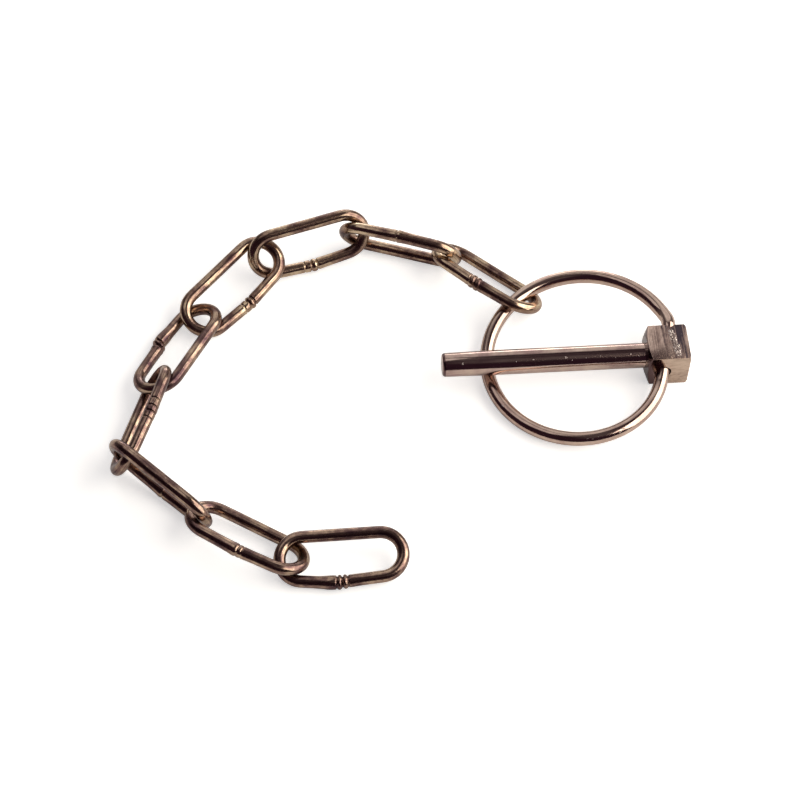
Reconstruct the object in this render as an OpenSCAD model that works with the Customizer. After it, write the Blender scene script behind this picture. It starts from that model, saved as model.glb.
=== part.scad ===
// Lynch pin: a round shank with a square head, a wire ring that swings in the head and
// snaps over the tip, and a length of long-link chain on the ring.
// The pin points along X with its head at +X. The origin is on the shank's axis, in the
// plane where the shank meets the head. All sizes are in millimetres.

/* [Pin] */
// Diameter of the shank
shank_d = 6.3; // [5:0.1:7]
// Length of the shank from the head to the tip
shank_l = 51.3; // [46:0.1:60]
// Length of the thinner lead at the tip, where the ring closes
lead_l = 14; // [8:0.5:16]
// Diameter of the lead at the tip
lead_d = 6; // [4.5:0.1:6.2]
// Edge break at the tip
tip_break = 0.7; // [0.2:0.1:1.5]
// Side of the square head
head_w = 10.5; // [9.5:0.1:13]
// Length of the head along the pin
head_l = 10.4; // [9.5:0.1:14]
// Length of the turned cone at the shank end of the head
head_cone = 0.8; // [0.3:0.1:1.5]
// How much narrower than the head that cone starts
cone_in = 0.4; // [0.1:0.1:1]
// Length of the turned break at the free end of the head
head_end = 0.6; // [0.2:0.1:1]
// Break along the head's long edges
head_break = 0.3; // [0.1:0.1:0.8]
// How far the head end dips as the pin lies on its ring, in degrees
pin_dip = 2.3; // [0:0.1:6]

/* [Ring] */
// Diameter of the ring wire
ring_wire = 3.5; // [2.5:0.1:3.8]
// Diameter of the ring, measured at the middle of its wire
ring_d = 47.8; // [42:0.1:54]
// Clearance between the ring wire and the underside of the shank
ring_gap = 0.15; // [0.1:0.05:0.5]
// Distance of the ring hole from the shank end of the head
hole_x = 5; // [4:0.1:5.5]
// Height of the ring hole above the pin's axis, half way through the head
hole_z = 1.4; // [0:0.1:1.6]
// Skew of the ring hole along the pin, in degrees
hole_skew = 14; // [0:1:15]
// Rise of the ring hole towards the back of the head, in degrees
hole_rise = 20; // [0:1:22]
// Clearance round the ring's pegs in the hole
peg_gap = 0.2; // [0.1:0.05:0.4]
// Width of the dark crescent beside the pegs, where the hole is worn wider
hole_wear = 0.8; // [0:0.1:1]
// How deep each peg of the ring sits in the head
peg_in = 4.4; // [3:0.1:5]
// Straight part of each peg outside the head
peg_out = 2.1; // [2:0.1:3]
// How far the full circle of the ring would pass beyond the hole
ring_past = 2.9; // [1:0.1:3.5]
// Sideways set of the ring's middle from the pin's axis
ring_side = 1.7; // [-2:0.1:2]
// Roll of the ring about the pin, with its chain side up, in degrees
ring_roll = 4; // [0:0.5:8]
// Where the round part of the ring ends behind the head, in degrees
ring_back = 25; // [15:1:45]
// Where the round part of the ring ends in front of the head, in degrees
ring_front = 105; // [60:1:110]

/* [Chain] */
// Diameter of the link wire
link_wire = 3; // [2.6:0.1:3.1]
// Inner length of a link
link_pitch = 26.8; // [24:0.5:30]
// Width of a link, measured at the middle of its wire
link_w = 11; // [10.5:0.1:13]
// Clearance between the wires of links that hook together
link_gap = 0.15; // [0.1:0.05:0.3]
// Bulge of the welded leg, in degrees
weld_bulge = 4; // [1:0.5:6]
// Diameter of the weld bead
weld_d = 3.7; // [3.3:0.1:4]
// Where the chain hooks on the ring, in degrees round from the head
hook_at = 125; // [110:1:140]

/* [Lay of the links] */
// Each link as it lies: heading, slope and lean in degrees, then its slack, its shift along
// the wire that it hangs on and its shift across it. First link, next to the ring
lay_1 = [138, 2, 34, 1.3, -0.6, 0.4]; // [-180:1:360]
// Second link
lay_2 = [159, 0, 72, 2, 1.1, -0.1]; // [-180:1:360]
// Third link
lay_3 = [193, -2, -64, 1.7, 0.5, -1]; // [-180:1:360]
// Fourth link
lay_4 = [222, -8, 160, 3, -0.7, 0.8]; // [-180:1:360]
// Fifth link
lay_5 = [239, 5, 22, 3, 0.6, -0.9]; // [-180:1:360]
// Sixth link
lay_6 = [248, 0, 61, 2.1, 1, 0]; // [-180:1:360]
// Seventh link
lay_7 = [315, -6, -78, 1.4, -0.1, -0.7]; // [-180:1:360]
// Eighth link
lay_8 = [328, -5, -26, 1, 0.6, 0.7]; // [-180:1:360]
// Ninth link, at the free end
lay_9 = [358, 2, 17, 2.7, -0.8, 0.6]; // [-180:1:360]

/* [Hidden] */
$fn = 64;
SEAM = 0.05;
SOFT_SEAM = 0.02;
// Depth to which the shank runs into the head
shank_root = 0.5;
// Diameter that clears the head's corners, and its loss over the break at the free end
corner_d = head_w * 1.42;
end_loss = 2.4 * head_end;
STEEL = [0.62, 0.53, 0.47];
CHAIN = [0.50, 0.42, 0.37];

function unit(v) = v / norm(v);
// From the pin's own axes to the row frame
function lay_pin(v) = [v[0] * cos(pin_dip) + v[2] * sin(pin_dip), v[1],
    v[2] * cos(pin_dip) - v[0] * sin(pin_dip)];

// The ring hole: a point half way through the head and the direction to the back
hole_p = [hole_x, 0, hole_z];
hole_dir = unit([tan(hole_skew), 1, tan(hole_rise)]);
hole_r = ring_wire / 2 + peg_gap + hole_wear / 2;
hole_shift = [hole_wear / 2, 0, 0];
// Distance along the hole from its middle to each face of the head
hole_half = head_w / 2 / hole_dir[1];

// The ring's plane passes through the hole and under the shank near the tip
ring_r = ring_d / 2;
ring_far = ring_d - ring_past;
ring_pitch = asin((hole_z + shank_d / 2 + ring_wire / 2 + ring_gap) / ring_far);
ring_ex = [cos(ring_pitch), 0, sin(ring_pitch)];
ring_ey = unit([0, cos(ring_roll), sin(ring_roll)] - sin(ring_roll) * sin(ring_pitch) * ring_ex);
ring_c = hole_p - (ring_r - ring_past) * ring_ex + ring_side * ring_ey;
function ring_at(a) = ring_c + ring_r * (cos(a) * ring_ex + sin(a) * ring_ey);
function ring_along(a) = cos(a) * ring_ey - sin(a) * ring_ex;

knee_back = hole_p + hole_dir * (hole_half + peg_out);
knee_front = hole_p - hole_dir * (hole_half + peg_out);

// The links: axes from heading, slope and lean, then each hangs in the bow before it
LAY = [lay_1, lay_2, lay_3, lay_4, lay_5, lay_6, lay_7, lay_8, lay_9];
bow_r = link_w / 2;
leg_half = (link_pitch + link_wire) / 2 - bow_r;
function along_of(a) = [cos(a[0]) * cos(a[1]), sin(a[0]) * cos(a[1]), sin(a[1])];
function up_of(a) = [-cos(a[0]) * sin(a[1]), -sin(a[0]) * sin(a[1]), cos(a[1])];
function side_of(a) = cos(a[2]) * [-sin(a[0]), cos(a[0]), 0] + sin(a[2]) * up_of(a);
// Middle of a link whose near bow hangs on a wire at p that runs along t
function hang(p, t, gap, a) = let (x = along_of(a), y = side_of(a),
    e = unit(x - (x * t) * t), f = atan2(-(y * e), x * e))
    p - (gap + a[3]) * e + a[4] * t + a[5] * cross(e, t)
        + bow_r * (cos(f) * x - sin(f) * y) + leg_half * x;
// Place on a far bow that faces the next link, as an angle round the bow
function facing(i) = let (x = along_of(LAY[i]), y = side_of(LAY[i]), n = along_of(LAY[i + 1]))
    max(-75, min(75, atan2(n * y, n * x)));
function seat_p(i) = i == 0 ? lay_pin(ring_at(hook_at))
    : let (x = along_of(LAY[i - 1]), y = side_of(LAY[i - 1]), f = facing(i - 1))
        mid(i - 1) + leg_half * x + bow_r * (cos(f) * x + sin(f) * y);
function seat_t(i) = i == 0 ? lay_pin(ring_along(hook_at))
    : let (x = along_of(LAY[i - 1]), y = side_of(LAY[i - 1]), f = facing(i - 1))
        cos(f) * y - sin(f) * x;
function mid(i) = hang(seat_p(i), seat_t(i),
    (i == 0 ? ring_wire : link_wire) / 2 + link_wire / 2 + link_gap, LAY[i]);

// A straight round wire from p to q
module rod(p, q, d) {
    z = unit(q - p);
    x = unit(abs(z[2]) < 0.8 ? cross([0, 0, 1], z) : cross([1, 0, 0], z));
    y = cross(z, x);
    multmatrix([[x[0], y[0], z[0], p[0]], [x[1], y[1], z[1], p[1]], [x[2], y[2], z[2], p[2]]])
        cylinder(d = d, h = norm(q - p));
}
// A bend of round wire that leaves p along t and ends at q
module bend(p, t, q, d) {
    u = unit(q - p);
    a = acos(t * u);
    r = norm(q - p) / (2 * sin(a));
    n = unit(cross(t, u));
    x = -cross(n, t);
    c = p - r * x;
    multmatrix([[x[0], t[0], n[0], c[0]], [x[1], t[1], n[1], c[1]], [x[2], t[2], n[2], c[2]]])
        rotate_extrude(angle = 2 * a) translate([r, 0]) circle(d = d);
}

module pin() {
    color(STEEL) rotate([0, pin_dip, 0]) difference() {
        union() {
            // shank, lead and tip
            translate([shank_root, 0, 0]) rotate([0, -90, 0])
                cylinder(d = shank_d, h = shank_l - lead_l + shank_root);
            translate([lead_l - shank_l, 0, 0]) rotate([0, -90, 0])
                cylinder(d1 = shank_d, d2 = lead_d, h = lead_l - tip_break);
            translate([tip_break - shank_l, 0, 0]) rotate([0, -90, 0])
                cylinder(d1 = lead_d, d2 = lead_d - 2 * tip_break, h = tip_break);
            // square head, turned to a cone where it meets the shank
            intersection() {
                rotate([90, 0, 90]) linear_extrude(head_l) polygon([
                    for (a = [0:90:270], s = [-1, 1])
                        let (u = head_w / 2, v = s * (head_w / 2 - head_break))
                        [u * cos(a) - v * sin(a), u * sin(a) + v * cos(a)]]);
                rotate([0, 90, 0]) union() {
                    cylinder(d1 = head_w - cone_in, d2 = corner_d, h = head_cone);
                    translate([0, 0, head_cone]) cylinder(d = corner_d, h = head_l - head_cone - head_end);
                    translate([0, 0, head_l - head_end])
                        cylinder(d1 = corner_d, d2 = corner_d - end_loss, h = head_end);
                }
            }
        }
        // skewed hole for the two pegs of the ring
        rod(hole_p + hole_shift - hole_dir * head_w, hole_p + hole_shift + hole_dir * head_w, 2 * hole_r);
    }
}

module ring() {
    color(STEEL) rotate([0, pin_dip, 0]) union() {
        // round part, open towards the head
        multmatrix([[ring_ex[0], ring_ey[0], cross(ring_ex, ring_ey)[0], ring_c[0]],
            [ring_ex[1], ring_ey[1], cross(ring_ex, ring_ey)[1], ring_c[1]],
            [ring_ex[2], ring_ey[2], cross(ring_ex, ring_ey)[2], ring_c[2]]])
            rotate([0, 0, ring_back]) rotate_extrude(angle = 360 - ring_back - ring_front)
                translate([ring_r, 0]) circle(d = ring_wire);
        // the ends straighten out towards the head
        bend(ring_at(ring_back), -ring_along(ring_back), knee_back, ring_wire);
        bend(ring_at(-ring_front), ring_along(-ring_front), knee_front, ring_wire);
        for (p = [ring_at(ring_back), ring_at(-ring_front)]) translate(p) sphere(d = ring_wire + SOFT_SEAM);
        for (p = [knee_back, knee_front]) translate(p) sphere(d = ring_wire + SEAM);
        // pegs that turn in the head
        rod(knee_back, knee_back - hole_dir * (peg_out + peg_in), ring_wire);
        rod(knee_front, knee_front + hole_dir * (peg_out + peg_in), ring_wire);
    }
}

// One link along its own X axis, with its welded leg at +Y or -Y
module link(weld = 1) {
    for (s = [-1, 1]) translate([s * leg_half, 0, 0]) mirror([s < 0 ? 1 : 0, 0, 0])
        rotate([0, 0, -90]) rotate_extrude(angle = 180) translate([bow_r, 0]) circle(d = link_wire);
    translate([-leg_half, -weld * bow_r, 0]) rotate([0, 90, 0]) cylinder(d = link_wire, h = 2 * leg_half);
    // welded leg, bulged where its two halves were butted
    top = [0, weld * (bow_r + leg_half * tan(weld_bulge)), 0];
    for (s = [-1, 1]) {
        translate([s * leg_half, weld * bow_r, 0]) sphere(d = link_wire + SEAM);
        rod([s * leg_half, weld * bow_r, 0], top, link_wire);
    }
    translate(top) sphere(d = weld_d);
}
module place(i) {
    x = along_of(LAY[i]);
    y = side_of(LAY[i]);
    z = cross(x, y);
    p = mid(i);
    multmatrix([[x[0], y[0], z[0], p[0]], [x[1], y[1], z[1], p[1]], [x[2], y[2], z[2], p[2]]])
        children();
}
module link_1() { color(CHAIN) place(0) link(1); }
module link_2() { color(CHAIN) place(1) link(1); }
module link_3() { color(CHAIN) place(2) link(1); }
module link_4() { color(CHAIN) place(3) link(-1); }
module link_5() { color(CHAIN) place(4) link(-1); }
module link_6() { color(CHAIN) place(5) link(1); }
module link_7() { color(CHAIN) place(6) link(1); }
module link_8() { color(CHAIN) place(7) link(-1); }
module link_9() { color(CHAIN) place(8) link(-1); }

pin();
ring();
link_1();
link_2();
link_3();
link_4();
link_5();
link_6();
link_7();
link_8();
link_9();
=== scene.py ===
import math
import bpy
from mathutils import Matrix, Vector, noise


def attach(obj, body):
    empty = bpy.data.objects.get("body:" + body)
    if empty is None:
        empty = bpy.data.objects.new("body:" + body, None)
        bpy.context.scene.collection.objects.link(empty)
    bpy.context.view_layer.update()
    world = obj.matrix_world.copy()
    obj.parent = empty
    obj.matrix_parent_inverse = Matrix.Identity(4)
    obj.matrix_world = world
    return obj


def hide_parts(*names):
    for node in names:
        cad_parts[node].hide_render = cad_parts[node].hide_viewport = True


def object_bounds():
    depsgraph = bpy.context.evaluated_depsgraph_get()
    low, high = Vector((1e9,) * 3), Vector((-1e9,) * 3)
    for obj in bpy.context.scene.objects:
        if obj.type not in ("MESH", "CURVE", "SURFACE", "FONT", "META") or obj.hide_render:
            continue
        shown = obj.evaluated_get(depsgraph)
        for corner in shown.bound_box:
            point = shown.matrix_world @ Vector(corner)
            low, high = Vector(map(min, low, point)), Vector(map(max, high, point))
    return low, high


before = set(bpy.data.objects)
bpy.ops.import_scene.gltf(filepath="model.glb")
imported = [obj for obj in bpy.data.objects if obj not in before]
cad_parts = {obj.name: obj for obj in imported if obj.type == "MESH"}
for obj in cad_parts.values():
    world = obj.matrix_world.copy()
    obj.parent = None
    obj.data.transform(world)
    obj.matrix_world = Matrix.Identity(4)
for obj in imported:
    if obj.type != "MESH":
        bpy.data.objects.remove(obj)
cad_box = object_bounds()

# Lynch pin with its ring and nine links of chain, laid on a white ground. Lengths are in
# millimetres and angles in degrees. A mesh is scaled to metres as it is made.
MM = 0.001

# Pin, as in the part's source
SHANK_D = 6.3
SHANK_L = 51.3
LEAD_L = 14.0
LEAD_D = 6.0
TIP_BREAK = 0.7
HEAD_W = 10.5
HEAD_L = 10.4
HEAD_CONE = 0.8
PIN_DIP = 2.3

# Ring, as in the part's source
RING_WIRE = 3.5
RING_D = 47.8
RING_GAP = 0.15
HOLE_X = 5.0
HOLE_Z = 1.4
HOLE_SKEW = 14.0
HOLE_RISE = 20.0
PEG_GAP = 0.2
PEG_IN = 4.4
PEG_OUT = 2.1
RING_PAST = 2.9
RING_SIDE = 1.7
RING_ROLL = 4.0
RING_BACK = 25.0
RING_FRONT = 105.0

# Chain, as in the part's source
LINK_WIRE = 3.0
LINK_PITCH = 26.8
LINK_W = 11.0
LINK_GAP = 0.15
WELD_BULGE = 4.0
HOOK_AT = 125.0
FACE_LIMIT = 75.0

# Each link as it lies, as in the part's source: heading, slope and lean, then its slack, its
# shift along the wire that it hangs on and its shift across it. The first is next to the ring
LAY = [
    (138, 2, 34, 1.3, -0.6, 0.4),
    (159, 0, 72, 2, 1.1, -0.1),
    (193, -2, -64, 1.7, 0.5, -1),
    (222, -8, 160, 3, -0.7, 0.8),
    (239, 5, 22, 3, 0.6, -0.9),
    (248, 0, 61, 2.1, 1, 0),
    (315, -6, -78, 1.4, -0.1, -0.7),
    (328, -5, -26, 1, 0.6, 0.7),
    (358, 2, 17, 2.7, -0.8, 0.6),
]

# Side of each link that its weld is on, along its own Y axis
WELD_SIDE = [1, 1, 1, -1, -1, 1, 1, -1, -1]

# Lines across each weld as the photograph shows them: place along the leg, height and width.
# A ridge has a height above zero and a groove one below
WELD_LINES = [
    [(-1.4, -0.18, 0.16), (-0.7, 0.12, 0.45), (0.1, -0.26, 0.18), (0.8, 0.14, 0.45), (1.6, -0.20, 0.16)],
    [(-0.4, 0.06, 0.6), (0.3, -0.16, 0.20)],
    [(-1.0, -0.30, 0.20), (-0.2, 0.12, 0.42), (0.6, -0.30, 0.20), (2.4, -0.20, 0.18)],
    [(-1.0, -0.26, 0.20), (-0.25, 0.12, 0.42), (0.5, -0.28, 0.20), (2.1, -0.18, 0.16)],
    [(-0.9, -0.44, 0.26), (-0.1, 0.22, 0.40), (0.75, -0.40, 0.26), (1.5, 0.12, 0.5)],
    [(-3.2, -0.30, 0.17), (-0.9, -0.34, 0.18), (0.7, -0.30, 0.17), (2.6, -0.18, 0.15)],
    [(-0.5, 0.08, 0.6), (0.3, -0.20, 0.18)],
    [(-0.4, 0.06, 0.6), (0.4, -0.20, 0.18), (1.5, -0.14, 0.16)],
    [(-1.35, -0.28, 0.20), (-0.7, 0.14, 0.34), (0.0, -0.42, 0.22), (0.65, 0.14, 0.34), (1.35, -0.28, 0.20)],
]

# Places in those lists of the two links whose leg also swells beside the weld: on the stepped
# one its halves meet off centre, and on the bent one it is pushed outwards
STEPPED_LINK = 4
BENT_LINK = 8

# The links from the ring up to this count are lighter, the rest are darker
LIGHT_LINKS = 4

# Edges of the pin that turn by more than this are drawn sharp
SHARP_EDGE = 28

# Length of the UV map for each millimetre of wire
UV_PER_MM = 0.1

# Tone at which a metal has its middle colour
MIDDLE_TONE = 0.65

# Patches of light round the object: the direction, the angles at which a patch starts to fade
# and ends, and its strength
SKY_PATCHES = [
    ((0.05, 0.87, 0.49), 20, 38, 0.82),
    ((-0.60, 0.80, 0.10), 5, 50, 0.12),
    ((0.80, 0.60, 0.25), 5, 50, 0.18),
    ((-0.05, 0.15, 0.98), 6, 18, 0.09),
    ((0.15, -0.35, 0.92), 3, 22, 0.09),
]


# Helpers for angles, paths and meshes
def cos_deg(angle):
    return math.cos(math.radians(angle))


def sin_deg(angle):
    return math.sin(math.radians(angle))


def bell(x, middle, width):
    """1 at the middle, falling smoothly to nothing on both sides."""
    return math.exp(-((x - middle) / width) ** 2)


# From the pin's own axes to the frame, in which the head dips to the ground
TILT = Matrix.Rotation(math.radians(PIN_DIP), 3, "Y")

# The ring hole: its middle, its direction to the back and half its length in the head
HOLE_MIDDLE = Vector((HOLE_X, 0, HOLE_Z))
HOLE_DIRECTION = Vector((
    math.tan(math.radians(HOLE_SKEW)), 1, math.tan(math.radians(HOLE_RISE)))).normalized()
HOLE_HALF = HEAD_W / 2 / HOLE_DIRECTION.y
KNEE_BACK = HOLE_MIDDLE + HOLE_DIRECTION * (HOLE_HALF + PEG_OUT)
KNEE_FRONT = HOLE_MIDDLE - HOLE_DIRECTION * (HOLE_HALF + PEG_OUT)

# The ring's plane passes through the hole and under the shank near the tip
RING_R = RING_D / 2
RING_DROP = HOLE_Z + SHANK_D / 2 + RING_WIRE / 2 + RING_GAP
RING_SLOPE = math.degrees(math.asin(RING_DROP / (RING_D - RING_PAST)))
RING_X = Vector((cos_deg(RING_SLOPE), 0, sin_deg(RING_SLOPE)))
RING_Y = (Vector((0, cos_deg(RING_ROLL), sin_deg(RING_ROLL)))
          - sin_deg(RING_ROLL) * sin_deg(RING_SLOPE) * RING_X).normalized()
RING_MIDDLE = HOLE_MIDDLE - (RING_R - RING_PAST) * RING_X + RING_SIDE * RING_Y


def ring_at(angle):
    return RING_MIDDLE + RING_R * (cos_deg(angle) * RING_X + sin_deg(angle) * RING_Y)


def ring_along(angle):
    return cos_deg(angle) * RING_Y - sin_deg(angle) * RING_X


def bend(start, direction, end, steps):
    """Points on the round bend that leaves start along direction and ends at end."""
    chord = (end - start).normalized()
    half = math.acos(direction.dot(chord))
    radius = (end - start).length / (2 * math.sin(half))
    outward = -(direction.cross(chord).normalized().cross(direction))
    middle = start - radius * outward
    points = []
    for i in range(steps + 1):
        angle = 2 * half * i / steps
        points.append(middle + radius * (math.cos(angle) * outward + math.sin(angle) * direction))
    return points


def pointing(heading, slope):
    return Vector((cos_deg(heading) * cos_deg(slope), sin_deg(heading) * cos_deg(slope), sin_deg(slope)))


def lay_links():
    """Middle and axes of each link. It hangs in the wire before it, as in the part's source."""
    laid = []
    bow = LINK_W / 2
    half = (LINK_PITCH + LINK_WIRE) / 2 - bow
    limit = math.radians(FACE_LIMIT)
    hook, wire, wire_r = TILT @ ring_at(HOOK_AT), TILT @ ring_along(HOOK_AT), RING_WIRE / 2
    for i, (heading, slope, lean, slack, along, across) in enumerate(LAY):
        x = pointing(heading, slope)
        level = Vector((-sin_deg(heading), cos_deg(heading), 0))
        upward = pointing(heading, slope + 90)
        y = cos_deg(lean) * level + sin_deg(lean) * upward
        pull = (x - x.dot(wire) * wire).normalized()
        near = math.atan2(-(y.dot(pull)), x.dot(pull))
        apart = wire_r + LINK_WIRE / 2 + LINK_GAP + slack
        middle = hook - apart * pull + along * wire + across * pull.cross(wire)
        middle += bow * (math.cos(near) * x - math.sin(near) * y) + half * x
        laid.append((middle, x, y, x.cross(y)))
        if i + 1 < len(LAY):
            ahead = pointing(*LAY[i + 1][:2])
            far = max(-limit, min(limit, math.atan2(ahead.dot(y), ahead.dot(x))))
            hook = middle + half * x + bow * (math.cos(far) * x + math.sin(far) * y)
            wire = -math.sin(far) * x + math.cos(far) * y
            wire_r = LINK_WIRE / 2
    return laid


def resample(points, step, closed=False):
    """The same line with its points evenly spaced, about one step apart."""
    source = points + [points[0]] if closed else points
    reached = [0.0]
    for a, b in zip(source[:-1], source[1:]):
        reached.append(reached[-1] + (b - a).length)
    count = int(reached[-1] / step)
    even, j = [], 0
    for i in range(count if closed else count + 1):
        s = reached[-1] * i / count
        while j < len(reached) - 2 and reached[j + 1] < s:
            j += 1
        share = (s - reached[j]) / (reached[j + 1] - reached[j])
        even.append(source[j].lerp(source[j + 1], share))
    return even


def smooth(points, times, closed=False):
    """Moves each point half way to its neighbours, so many times. The ends of an open line stay."""
    for _ in range(times):
        count = len(points)
        moved = []
        for i, point in enumerate(points):
            if not closed and i in (0, count - 1):
                moved.append(point)
                continue
            moved.append(point * 0.5 + (points[i - 1] + points[(i + 1) % count]) * 0.25)
        points = moved
    return points


def add_mesh(name, vertices, faces):
    """New object at the origin with a mesh of these vertices, which are in millimetres."""
    mesh = bpy.data.meshes.new(name)
    mesh.from_pydata([vertex * MM for vertex in vertices], [], faces)
    mesh.validate()
    for polygon in mesh.polygons:
        polygon.use_smooth = True
    piece = bpy.data.objects.new(name, mesh)
    bpy.context.scene.collection.objects.link(piece)
    return piece


def dress(piece, material):
    piece.data.materials.clear()
    piece.data.materials.append(material)


def sweep(name, path, wall, sides, normal=None):
    """Tube along a path, with a UV map that runs along the wire.

    wall(i, s, angle) gives the radius and a shift at point i of the path, s along it.
    With a normal the path is closed and lies across it, and without one it is open."""
    closed = normal is not None
    count = len(path)
    tangents = []
    for i in range(count):
        before = path[i - 1] if closed or i > 0 else path[0]
        after = path[(i + 1) % count] if closed or i < count - 1 else path[-1]
        tangents.append((after - before).normalized())
    reached = [0.0]
    for a, b in zip(path[:-1], path[1:]):
        reached.append(reached[-1] + (b - a).length)
    total = reached[-1] + ((path[0] - path[-1]).length if closed else 0)

    vertices = []
    side = tangents[0].cross(Vector((0, 0, 1)))
    for i, tangent in enumerate(tangents):
        if closed:
            side = tangent.cross(normal).normalized()
        else:
            side = (side - side.dot(tangent) * tangent).normalized()
        across = side.cross(tangent)
        for k in range(sides):
            angle = 2 * math.pi * k / sides
            radius, shift = wall(i, reached[i], angle)
            vertices.append(path[i] + shift + radius * (math.cos(angle) * side + math.sin(angle) * across))

    faces, places = [], []
    for i in range(count if closed else count - 1):
        j = (i + 1) % count
        s, s_next = reached[i], reached[j] if j else total
        for k in range(sides):
            m = (k + 1) % sides
            faces.append((i * sides + k, i * sides + m, j * sides + m, j * sides + k))
            places += [(s, k), (s, k + 1), (s_next, k + 1), (s_next, k)]
    if not closed:
        for row, turned in ((0, True), (count - 1, False)):
            middle = len(vertices)
            vertices.append(path[row])
            for k in range(sides):
                rim = (row * sides + k, row * sides + (k + 1) % sides)
                faces.append((*(rim[::-1] if turned else rim), middle))
                places += [(0, k)] * 3

    piece = add_mesh(name, vertices, faces)
    uv = piece.data.uv_layers.new(name="wire")
    for corner, (s, k) in zip(uv.data, places):
        corner.uv = (s * UV_PER_MM, k / sides)
    return piece


# The pieces
def link_path(weld):
    """Centre line of a link in its own plane, from the middle of its plain leg."""
    steps = 24
    bow = LINK_W / 2
    half = (LINK_PITCH + LINK_WIRE) / 2 - bow
    bulge = half * math.tan(math.radians(WELD_BULGE))
    path = [Vector((0, -weld * bow, 0)), Vector((half, -weld * bow, 0))]
    for i in range(1, steps + 1):
        angle = 180 * i / steps - 90
        path.append(Vector((half + bow * cos_deg(angle), weld * bow * sin_deg(angle), 0)))
    for share in (0.5, 0.0, -0.5):
        path.append(Vector((half * share, weld * (bow + bulge * (1 - abs(share))), 0)))
    for i in range(steps + 1):
        angle = 90 - 180 * i / steps
        path.append(Vector((-half - bow * cos_deg(angle), weld * bow * sin_deg(angle), 0)))
    return path


def weld_wall(i, x, angle, seed):
    """What a weld adds to its leg at x from its middle: to the wire's radius, and outwards."""
    line_stray, line_uneven = 0.25, 0.55
    upset, upset_reach = 0.10, 2.6
    swelling, swelling_at, swelling_reach = 0.20, -2.8, 2.0
    step, step_at, steepness, step_reach = 0.84, -0.3, 3.0, 6.0
    push, push_at, push_reach = 0.25, -3.5, 4.0
    round_wire = Vector((math.cos(angle), math.sin(angle), 0))
    stray = line_stray * noise.noise((round_wire + Vector((0, 0, 0.3 * i))) * 1.3 + seed)
    thicker = upset * bell(x, 0, upset_reach)
    for at, height, width in WELD_LINES[i]:
        if abs(x - at - stray) < 3 * width:
            uneven = 1 + line_uneven * noise.noise(round_wire * 2 + Vector((0, 0, at + i)))
            thicker += height * bell(x, at + stray, width) * uneven
    outwards = 0.0
    if i in (STEPPED_LINK, BENT_LINK):
        thicker += swelling * bell(x, swelling_at, swelling_reach)
    if i == STEPPED_LINK:
        past_step = 1 / (1 + math.exp((step_at - x) * steepness))
        outwards = step * (0.5 - past_step) * bell(x, 0, step_reach)
    if i == BENT_LINK:
        outwards = push * bell(x, push_at, push_reach)
    return thicker, outwards


def make_link(i, middle, x, y, z):
    """Link i, counted from 0 at the ring, with its own weld."""
    weld = WELD_SIDE[i]
    half = (LINK_PITCH + LINK_WIRE - LINK_W) / 2
    spacing, rounds, weld_reach, finer = 0.28, 6, 4.2, 4
    wire_uneven, leg_margin = 0.03, 0.6
    seed = Vector((3.1 * i, 1.7 * i, 0))

    def on_welded_leg(point):
        return point.y * weld > LINK_W / 2 - leg_margin

    coarse = smooth(resample(link_path(weld), spacing, True), rounds, True)
    path = []
    for a, b in zip(coarse, coarse[1:] + coarse[:1]):
        near_weld = on_welded_leg(a) and abs(a.x) < weld_reach
        path += [a.lerp(b, k / finer) for k in range(finer)] if near_weld else [a]

    def wall(k, s, angle):
        point = path[k]
        place = Vector((point.x * 0.10, point.y * 0.10, angle * 0.5))
        uneven = wire_uneven * noise.noise(place + seed)
        if not on_welded_leg(point) or abs(point.x) >= half:
            return LINK_WIRE / 2 + uneven, Vector((0, 0, 0))
        thicker, outwards = weld_wall(i, point.x, angle, seed)
        return LINK_WIRE / 2 + uneven + thicker, Vector((0, weld * outwards, 0))

    link = sweep("link_body_%d" % (i + 1), path, wall, sides=26, normal=Vector((0, 0, 1)))
    link.data.transform(Matrix((
        (x.x, y.x, z.x, middle.x * MM),
        (x.y, y.y, z.y, middle.y * MM),
        (x.z, y.z, z.z, middle.z * MM),
        (0, 0, 0, 1))))
    node = "link_%d" % (i + 1)
    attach(link, node)
    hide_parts(node)
    return link


def make_ring():
    """The ring's wire from peg to peg, with knees softer than the part's own."""
    peg = PEG_OUT + PEG_IN
    peg_steps, round_steps, back_steps, front_steps = 6, 90, 8, 40
    spacing, rounds = 0.4, 42
    uneven, end_break, end_in = 0.012, 0.4, 0.25
    path = [KNEE_BACK + HOLE_DIRECTION * (i * peg / peg_steps - peg) for i in range(peg_steps)]
    path += bend(ring_at(RING_BACK), -ring_along(RING_BACK), KNEE_BACK, back_steps)[::-1]
    for i in range(1, round_steps):
        path.append(ring_at(RING_BACK + (360 - RING_BACK - RING_FRONT) * i / round_steps))
    path += bend(ring_at(-RING_FRONT), ring_along(-RING_FRONT), KNEE_FRONT, front_steps)
    path += [KNEE_FRONT + HOLE_DIRECTION * ((i + 1) * peg / peg_steps) for i in range(peg_steps)]
    path = smooth(resample(path, spacing), rounds)
    total = sum((b - a).length for a, b in zip(path[:-1], path[1:]))

    def wall(k, s, angle):
        radius = RING_WIRE / 2 + uneven * noise.noise(path[k] * 0.15)
        to_end = min(s, total - s)
        if to_end < end_break:
            radius -= end_in * (1 - to_end / end_break)
        return radius, Vector((0, 0, 0))

    ring = sweep("ring_wire", path, wall, sides=30)
    ring.data.transform(TILT.to_4x4())
    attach(ring, "ring")
    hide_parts("ring")
    return ring


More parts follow.
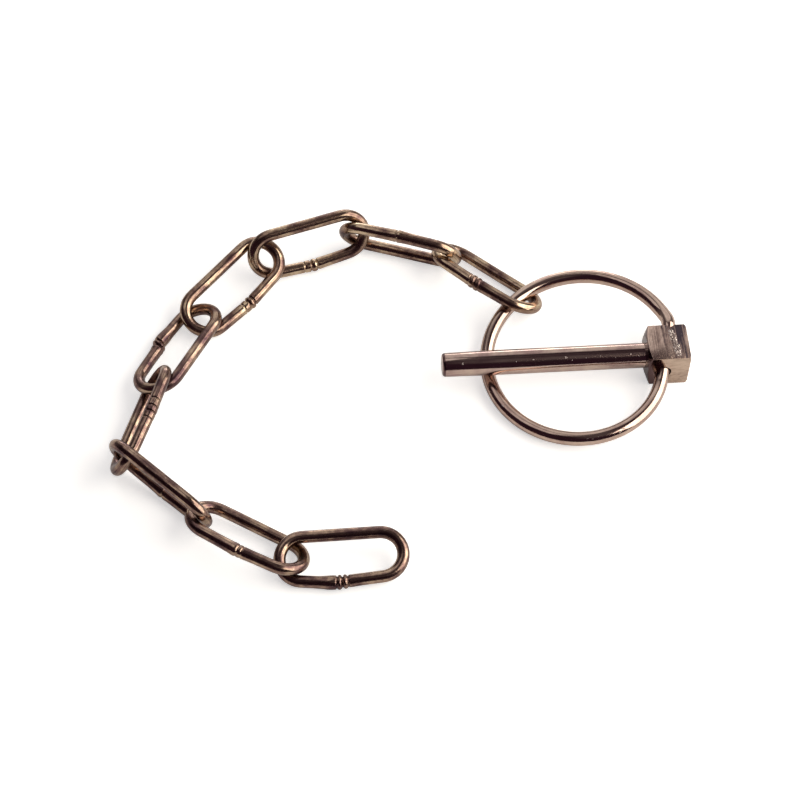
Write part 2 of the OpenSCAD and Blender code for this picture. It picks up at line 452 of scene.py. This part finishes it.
def lathe(name, profile, sides):
    """Solid of revolution about X from (x, radius) points."""
    vertices, faces = [], []
    for x, radius in profile:
        for k in range(sides):
            angle = 2 * math.pi * k / sides
            vertices.append(Vector((x, radius * math.cos(angle), radius * math.sin(angle))))
    for i in range(len(profile) - 1):
        for k in range(sides):
            m = (k + 1) % sides
            faces.append((i * sides + k, i * sides + m, (i + 1) * sides + m, (i + 1) * sides + k))
    faces.append(tuple(reversed(range(sides))))
    faces.append(tuple((len(profile) - 1) * sides + k for k in range(sides)))
    return add_mesh(name, vertices, faces)


def apply_modifiers(piece):
    mesh = bpy.data.meshes.new_from_object(piece.evaluated_get(bpy.context.evaluated_depsgraph_get()))
    piece.modifiers.clear()
    piece.data = mesh


def combine(piece, other, operation):
    modifier = piece.modifiers.new("combine", "BOOLEAN")
    modifier.operation = operation
    modifier.object = other
    modifier.solver = "EXACT"
    apply_modifiers(piece)
    bpy.data.objects.remove(other)


def head_solid(name):
    """Square bar with worn edges, turned to a cone at the shank and broken at its free end.

    The turned shape is a little wider than the bar's corners in between."""
    side = HEAD_W / 2
    corner = side * 1.42
    edge_w, edge_steps, sharp = 0.28, 3, 32
    vertices = [Vector((x, y, z)) for x in (0, HEAD_L) for y in (-side, side) for z in (-side, side)]
    faces = [(0, 1, 3, 2), (4, 6, 7, 5), (0, 4, 5, 1), (2, 3, 7, 6), (0, 2, 6, 4), (1, 5, 7, 3)]
    head = add_mesh(name, vertices, faces)
    cone = [(0.0, side - 0.25), (0.12, side - 0.05), (HEAD_CONE, corner - 0.12), (HEAD_CONE + 0.3, corner)]
    free_end = [(HEAD_L - 0.5, corner), (HEAD_L - 0.2, corner - 0.22), (HEAD_L, corner - 0.65)]
    combine(head, lathe("turned", cone + free_end, 128), "INTERSECT")
    bevel = head.modifiers.new("worn_edges", "BEVEL")
    bevel.width = edge_w * MM
    bevel.segments = edge_steps
    bevel.limit_method = "ANGLE"
    bevel.angle_limit = math.radians(sharp)
    apply_modifiers(head)
    return head


def shank_solid():
    """Shank with the thinner lead and the rounded break at its tip, run a little into the head."""
    shank, lead, into_head, part_way = SHANK_D / 2, LEAD_D / 2, 0.6, -10
    return lathe("shank", [
        (into_head, shank), (0, shank), (part_way, shank), (LEAD_L - SHANK_L, shank),
        (TIP_BREAK - SHANK_L, lead), (TIP_BREAK * 0.45 - SHANK_L, lead - 0.12),
        (TIP_BREAK * 0.12 - SHANK_L, lead - 0.36), (-SHANK_L, lead - 0.62)], 128)


def ring_hole():
    """Cutter for the skewed hole, worn a little wider and towards the free end of the head."""
    worn, worn_along, reach = 0.1, 0.12, 9
    radius = RING_WIRE / 2 + PEG_GAP + worn
    cutter = lathe("cutter", [(-reach, radius), (reach, radius)], 64)
    turn = Vector((1, 0, 0)).rotation_difference(HOLE_DIRECTION).to_matrix().to_4x4()
    place = (HOLE_MIDDLE + Vector((worn_along, 0, 0))) * MM
    cutter.data.transform(Matrix.Translation(place) @ turn)
    return cutter


def pin_material(polygon):
    """Number of a face's metal: 0 on the shank, 1 on the head's top, 2 round it and on the tip's break."""
    at = polygon.center / MM
    facing = polygon.normal
    head_start, shank_start, top_margin = 0.02, -1, 0.4
    backwards, slanting, upwards = -0.9, -0.25, 0.75
    on_head = at.x > head_start
    behind_head = facing.x < backwards and at.x > shank_start
    on_tip_break = backwards < facing.x < slanting and at.x < shank_start
    if not (on_head or behind_head or on_tip_break):
        return 0
    return 1 if facing.z > upwards and at.z > HEAD_W / 2 - top_margin else 2


def make_pin(metals):
    """Shank and head in one piece. metals: of the shank, the head's top and the head's sides."""
    pin = head_solid("pin_body")
    combine(pin, shank_solid(), "UNION")
    combine(pin, ring_hole(), "DIFFERENCE")
    for material in metals:
        pin.data.materials.append(material)
    for polygon in pin.data.polygons:
        polygon.use_smooth = True
        polygon.material_index = pin_material(polygon)
    pin.data.transform(TILT.to_4x4())
    edges = pin.modifiers.new("sharp_edges", "EDGE_SPLIT")
    edges.split_angle = math.radians(SHARP_EDGE)
    apply_modifiers(pin)
    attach(pin, "pin")
    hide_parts("pin")
    return pin


def make_staked_line():
    """The staked line across the top of the head: two rough lips of upset metal."""
    columns, spacing, rounds = 34, 0.07, 16
    half_w, lip_h, grain_h, edge_h, edge = 0.98, 0.20, 0.16, -0.06, 0.93
    # The two lips: place across the line, width, height, unevenness, how fine it is, and its seed
    lips = [(0.34, 0.34, 0.70, 0.9, 14, 1.0), (-0.38, 0.30, 0.60, 1.1, 17, 7.0)]
    route = [(6.3, 3.9), (6.5, 2.4), (6.75, 0.9), (7.0, -0.8), (7.25, -2.4), (7.5, -4.6)]
    line = smooth(resample([Vector((x, y, 0)) for x, y in route], spacing), rounds)
    last = len(line) - 1
    vertices = []
    for i, middle in enumerate(line):
        along = (line[min(last, i + 1)] - line[max(0, i - 1)]).normalized()
        across = Vector((-along.y, along.x, 0))
        u = i / last
        fade = min(1.0, min(u, 1 - u) * 7)
        half = half_w + 0.4 * noise.noise(Vector((u * 12, 3.1, 0)))
        for k in range(columns + 1):
            v = -1 + 2 * k / columns
            raised = 0.0
            for place, width, height, uneven, fine, seed in lips:
                raised += bell(v, place, width) * (height + uneven * noise.noise(Vector((u * fine, seed, 0))))
            at = middle + across * v * half
            grain = 0.9 * noise.noise(Vector((at.x * 2.6, at.y * 2.6, 4.0)))
            grain += 1.1 * noise.noise(Vector((at.x * 5.0, at.y * 4.4, 9.0)))
            sunk = 0.02 + 0.06 * max(0, noise.noise(Vector((at.x * 1.5, at.y * 1.1, 2.0))))
            above = (lip_h * raised * (1 + grain) + grain_h * grain * (1 - v * v)) * fade - sunk
            if abs(v) > edge:
                above = edge_h
            vertices.append(TILT @ Vector((at.x, at.y, HEAD_W / 2 + above)))
    faces = []
    row = columns + 1
    for i in range(last):
        for k in range(i * row, i * row + columns):
            faces.append((k + row, k + row + 1, k + 1, k))
    scar = add_mesh("staked_line", vertices, faces)
    if sum(polygon.normal.z for polygon in scar.data.polygons) < 0:
        scar.data.flip_normals()
    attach(scar, "pin")
    return scar


def add_rubs(name, rubs, surface):
    """Small bright rubs as ragged skins on a surface. rubs: place along and round, length, width."""
    rim, rim_h, middle_h, raggedness = 18, 0.008, 0.022, 0.7
    vertices, faces = [], []
    for i, (along, around, length, width) in enumerate(rubs):
        middle = len(vertices)
        vertices.append(surface(along, around, middle_h))
        for k in range(rim):
            angle = 2 * math.pi * k / rim
            on_rim = Vector((math.cos(angle) * 2, math.sin(angle) * 2, 3.7 * i))
            ragged = 1 + raggedness * noise.noise(on_rim)
            s = along + length * ragged * math.cos(angle)
            t = around + width * ragged * math.sin(angle)
            vertices.append(surface(s, t, rim_h))
            faces.append((middle, middle + 1 + k, middle + 1 + (k + 1) % rim))
    return add_mesh(name, vertices, faces)


def on_shank(along, around, height):
    """Place along the shank, round it from the top towards the front, and above its surface."""
    angle = around / (SHANK_D / 2)
    radius = SHANK_D / 2 + height
    return TILT @ Vector((along, -radius * math.sin(angle), radius * math.cos(angle)))


def on_ring(along, around, height):
    """Place along the ring from under the tip to the front, round its wire and above it."""
    at = 180 + math.degrees(along / RING_R)
    angle = around / (RING_WIRE / 2)
    radius = RING_WIRE / 2 + height
    outward = (ring_at(at) - RING_MIDDLE).normalized()
    upward = RING_X.cross(RING_Y)
    return TILT @ (ring_at(at) + radius * (math.cos(angle) * upward + math.sin(angle) * outward))


def make_shank_rubs():
    rubs = add_rubs("shank_rubs", [
        (-46.4, 1.9, 0.22, 0.30), (-33.0, 2.0, 0.10, 0.16), (-28.6, 1.7, 0.26, 0.12),
        (-20.4, 1.6, 0.30, 0.22), (-18.9, 2.3, 0.09, 0.12), (-15.4, 1.9, 0.14, 0.10),
        (-11.8, 1.6, 0.10, 0.07), (-8.0, 2.2, 0.12, 0.08), (-4.1, 1.5, 0.16, 0.14),
        (-2.2, 2.1, 0.07, 0.10)], on_shank)
    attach(rubs, "pin")
    return rubs


def make_ring_rubs():
    rubs = add_rubs("ring_rubs", [
        (37.2, 1.1, 0.25, 0.16), (38.6, 0.7, 0.12, 0.10), (36.0, 0.9, 0.30, 0.08),
        (44.0, 1.0, 0.35, 0.16), (45.1, 0.6, 0.20, 0.14), (46.0, 1.2, 0.12, 0.10),
        (42.3, 0.8, 0.10, 0.10), (12.5, 0.6, 0.45, 0.14)], on_ring)
    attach(rubs, "ring")
    return rubs


# Materials
def feed(tree, node, inputs):
    """Sets inputs of a shader node, each to a value or to another node's output."""
    for key, value in inputs.items():
        if isinstance(value, bpy.types.NodeSocket):
            tree.links.new(value, node.inputs[key])
        else:
            node.inputs[key].default_value = value


def add_node(tree, kind, inputs, **settings):
    node = tree.nodes.new("ShaderNode" + kind)
    for key, value in settings.items():
        setattr(node, key, value)
    feed(tree, node, inputs)
    return node


def add_math(tree, operation, *values):
    return add_node(tree, "Math", dict(enumerate(values)), operation=operation).outputs[0]


def add_noise(tree, place, scale, detail=3.0, roughness=0.6):
    return add_node(tree, "TexNoise", {
        "Scale": scale, "Detail": detail, "Roughness": roughness, "Vector": place}).outputs["Fac"]


def add_range(tree, value, source, target, **settings):
    """Rescales a value from one pair of limits to another, and holds it inside."""
    return add_node(tree, "MapRange", {
        "Value": value, "From Min": source[0], "From Max": source[1],
        "To Min": target[0], "To Max": target[1]}, **settings).outputs["Result"]


def add_shades(tree, place, wobble, shades):
    """Slow change along X. shades: (place in mm, shade) stops, whose edges wobble a little."""
    stray = 1.2 * MM
    first, last = shades[0][0], shades[-1][0]
    x = add_node(tree, "SeparateXYZ", {0: place}).outputs["X"]
    strayed = add_math(tree, "MULTIPLY_ADD", wobble, stray, x)
    limits = (first * MM + stray / 2, last * MM + stray / 2)
    ramp = add_node(tree, "ValToRGB", {"Fac": add_range(tree, strayed, limits, (0.0, 1.0))})
    stops = ramp.color_ramp.elements
    for at, shade in shades[1:-1]:
        stops.new((at - first) / (last - first))
    for stop, (at, shade) in zip(stops, shades):
        stop.color = (shade, shade, shade, 1)
    return ramp.outputs["Color"]


def metal(name, tones, roughness, bump, grain, on_wire=False, patches=160.0, specks=0.35,
          shades=None, weights=(0.55, 0.75), softness=0.15):
    """Worn plated steel.

    tones: the dark, middle and light colours. roughness: of the light and the dark ones.
    grain: how fine the drawn or brushed grain is along each axis, of the UV map if on_wire.
    patches: how fine the tarnish is. weights: of the grain and of the patches in the tone.
    softness: how slowly the tones pass into each other. shades: see add_shades."""
    material = bpy.data.materials.new(name)
    material.use_nodes = True
    tree = material.node_tree
    places = add_node(tree, "TexCoord", {}).outputs
    place = places["Object"]
    grain_place = add_node(tree, "Mapping", {
        "Scale": grain, "Vector": places["UV"] if on_wire else place}).outputs["Vector"]
    brushed = add_noise(tree, grain_place, scale=1.0, detail=5.0)
    tarnish = add_noise(tree, place, scale=patches, detail=6.0, roughness=0.65)
    fine = add_noise(tree, place, scale=1700.0)
    dents = add_noise(tree, place, scale=520.0)

    middle_shift, dent_share, fine_share, relief_depth = 0.005, 0.8, 0.22, 0.08
    speck_limits, speck_colour = (0.66, 0.74), (0.80, 0.70, 0.60, 1)
    level = MIDDLE_TONE - sum(weights) / 2
    tone = add_math(tree, "MULTIPLY_ADD", tarnish, weights[1], level)
    tone = add_math(tree, "MULTIPLY_ADD", brushed, weights[0], tone)
    if shades:
        # On the head's sides these shades add painted shade and reflection to the tone.
        shade = add_math(tree, "SUBTRACT", add_shades(tree, place, dents, shades), 0.5)
        tone = add_math(tree, "ADD", tone, shade)
    limits = (MIDDLE_TONE - softness, MIDDLE_TONE + softness)
    ramp = add_node(tree, "ValToRGB", {"Fac": tone})
    stops = ramp.color_ramp.elements
    stops[0].position, stops[1].position = limits
    stops.new(MIDDLE_TONE - middle_shift)
    for stop, colour in zip(stops, tones):
        stop.color = (*colour, 1)

    spotted = add_node(tree, "MixRGB", {
        "Fac": add_range(tree, fine, speck_limits, (0.0, specks)),
        "Color1": ramp.outputs["Color"], "Color2": speck_colour})
    height = add_math(tree, "MULTIPLY_ADD", dents, dent_share, brushed)
    height = add_math(tree, "MULTIPLY_ADD", fine, fine_share, height)
    relief = add_node(tree, "Bump", {"Strength": bump, "Distance": relief_depth * MM, "Height": height})
    feed(tree, tree.nodes["Principled BSDF"], {
        "Metallic": 1.0, "Base Color": spotted.outputs["Color"],
        "Roughness": add_range(tree, tone, limits, roughness[::-1]),
        "Normal": relief.outputs["Normal"]})
    return material


# Camera, ground and light
def make_camera():
    """Camera as in the photograph: raised, turned a little and far enough to be nearly flat."""
    raised, turned, distance = 55.2, 5.087, 680.0
    pixels_per_mm, picture_w, sensor_w = 3.99, 800, 36
    aim_x, aim_y = -61.50, -9.77
    ground_under_head = -(HEAD_W / 2 * cos_deg(PIN_DIP) + HEAD_L * sin_deg(PIN_DIP))
    turn = Matrix.Rotation(math.radians(-turned), 3, "Z")
    right = turn @ Vector((1, 0, 0))
    up = turn @ Vector((0, sin_deg(raised), cos_deg(raised)))
    back = turn @ Vector((0, -cos_deg(raised), sin_deg(raised)))
    place = turn @ Vector((aim_x, aim_y, ground_under_head)) + back * distance
    data = bpy.data.cameras.new("camera")
    data.sensor_width = sensor_w
    data.lens = pixels_per_mm * distance / picture_w * sensor_w
    data.clip_start = 0.01
    data.clip_end = 20
    camera = bpy.data.objects.new("camera", data)
    camera.matrix_world = Matrix((
        (right.x, up.x, back.x, place.x * MM),
        (right.y, up.y, back.y, place.y * MM),
        (right.z, up.z, back.z, place.z * MM),
        (0, 0, 0, 1)))
    bpy.context.scene.collection.objects.link(camera)
    bpy.context.scene.camera = camera


def make_floor():
    """White ground under the part. It glows a little, more to the camera than in mirrors."""
    below, reach = 0.02, 4000
    glow_seen, glow_mirrored = 0.56, 0.12
    z = cad_box[0][2] / MM - below
    corners = [Vector((x * reach, y * reach, z)) for x, y in ((-1, -1), (1, -1), (1, 1), (-1, 1))]
    floor = add_mesh("floor", corners, [(0, 1, 2, 3)])
    material = bpy.data.materials.new("floor_white")
    material.use_nodes = True
    tree = material.node_tree
    rays = add_node(tree, "LightPath", {}).outputs
    seen = add_math(tree, "MULTIPLY", rays["Is Camera Ray"], glow_seen)
    glow = add_math(tree, "MULTIPLY_ADD", rays["Is Glossy Ray"], glow_mirrored, seen)
    feed(tree, tree.nodes["Principled BSDF"], {
        "Base Color": (0.9, 0.89, 0.88, 1), "Roughness": 0.9, "Specular IOR Level": 0.1,
        "Emission Color": (1, 1, 1, 1), "Emission Strength": glow})
    dress(floor, material)


def make_sky():
    """Dark room with soft round patches of light, as the metal mirrors them in the photograph."""
    world = bpy.data.worlds.new("world")
    bpy.context.scene.world = world
    world.use_nodes = True
    tree = world.node_tree
    toward = add_node(tree, "TexCoord", {}).outputs["Generated"]
    room_colour, patch_colour = (0.034, 0.015, 0.026, 1), (1.0, 0.98, 0.95, 1)
    light = 0.0
    for direction, inner, outer, strength in SKY_PATCHES:
        facing = add_node(tree, "VectorMath", {
            0: toward, 1: Vector(direction).normalized()}, operation="DOT_PRODUCT").outputs["Value"]
        patch = add_range(tree, facing, (cos_deg(outer), cos_deg(inner)), (0, strength),
                          interpolation_type="SMOOTHSTEP")
        light = add_math(tree, "ADD", light, patch)
    colour = add_node(tree, "MixRGB", {"Fac": light, "Color1": room_colour, "Color2": patch_colour})
    feed(tree, tree.nodes["Background"], {"Color": colour.outputs["Color"], "Strength": 1.0})


def add_lamp(name, direction, distance, size, power, colour):
    """Rectangular lamp that shines at the origin. Its size and distance are in metres."""
    toward = Vector(direction).normalized()
    data = bpy.data.lights.new(name, "AREA")
    data.shape = "RECTANGLE"
    data.size, data.size_y = size
    data.energy = power
    data.color = colour
    lamp = bpy.data.objects.new(name, data)
    lamp.location = toward * distance
    lamp.rotation_euler = toward.to_track_quat("Z", "Y").to_euler()
    bpy.context.scene.collection.objects.link(lamp)


# The scene
chain_metal = metal(
    "chain_metal", tones=((0.090, 0.045, 0.048), (0.29, 0.188, 0.140), (0.62, 0.48, 0.33)),
    roughness=(0.13, 0.31), bump=0.12, grain=(1.4, 44, 1), on_wire=True, patches=180.0, softness=0.12)
chain_dark_metal = metal(
    "chain_dark_metal", tones=((0.070, 0.036, 0.044), (0.205, 0.125, 0.105), (0.48, 0.35, 0.25)),
    roughness=(0.13, 0.31), bump=0.12, grain=(1.4, 44, 1), on_wire=True, patches=180.0, softness=0.12)
ring_metal = metal(
    "ring_metal", tones=((0.36, 0.235, 0.21), (0.50, 0.365, 0.305), (0.60, 0.46, 0.38)),
    roughness=(0.07, 0.16), bump=0.12, grain=(1.5, 50, 1), on_wire=True, specks=0.2)
shank_metal = metal(
    "shank_metal", tones=((0.32, 0.21, 0.20), (0.47, 0.345, 0.30), (0.57, 0.44, 0.37)),
    roughness=(0.07, 0.17), bump=0.16, grain=(60, 1300, 1300), specks=0.3)
head_top_metal = metal(
    "head_top_metal", tones=((0.066, 0.048, 0.060), (0.355, 0.246, 0.210), (0.68, 0.51, 0.43)),
    roughness=(0.16, 0.34), bump=0.45, grain=(2600, 130, 1500), specks=0.5, weights=(0.8, 0.6),
    shades=((0.0, 0.61), (1.2, 0.64), (2.2, 0.54), (3.4, 0.50), (4.2, 0.56), (4.7, 0.42),
            (5.3, 0.54), (6.6, 0.50), (7.8, 0.42), (9.0, 0.40), (10.4, 0.47)))
# Painted shade and reflection: the shades darken the head's sides towards the shank, where the ring's wire is
# mirrored and shade falls. The tip's break lies below the first stop, so it gets the darkest painted shade.
head_side_metal = metal(
    "head_side_metal", tones=((0.115, 0.068, 0.068), (0.41, 0.30, 0.235), (0.52, 0.395, 0.31)),
    roughness=(0.08, 0.16), bump=0.14, grain=(500, 500, 1800), specks=0.2,
    shades=((0.0, 0.10), (1.1, 0.20), (1.9, 0.42), (2.6, 0.54), (10.4, 0.54)))
staked_metal = metal(
    "staked_metal", tones=((0.14, 0.10, 0.10), (0.48, 0.39, 0.36), (0.88, 0.80, 0.74)),
    roughness=(0.22, 0.42), bump=0.6, grain=(2600, 1500, 1400), patches=2300.0, specks=0.8)

make_pin((shank_metal, head_top_metal, head_side_metal))
dress(make_staked_line(), staked_metal)
dress(make_shank_rubs(), staked_metal)
dress(make_ring(), ring_metal)
dress(make_ring_rubs(), staked_metal)
for i, (middle, x, y, z) in enumerate(lay_links()):
    dress(make_link(i, middle, x, y, z), chain_metal if i < LIGHT_LINKS else chain_dark_metal)

make_camera()
make_floor()
make_sky()
add_lamp("key_right", (0.797, -0.140, 0.588), 0.8, (1.10, 0.95), 11.6, (1.0, 0.968, 0.880))
add_lamp("top_left", (-0.43, 0.25, 0.87), 0.53, (0.30, 0.30), 0.21, (1.0, 0.98, 0.95))
add_lamp("back_soft", (0.03, 0.92, 0.10), 1.1, (0.5, 0.22), 1.2, (1.0, 0.98, 0.96))
bpy.context.scene.view_settings.view_transform = "Standard"
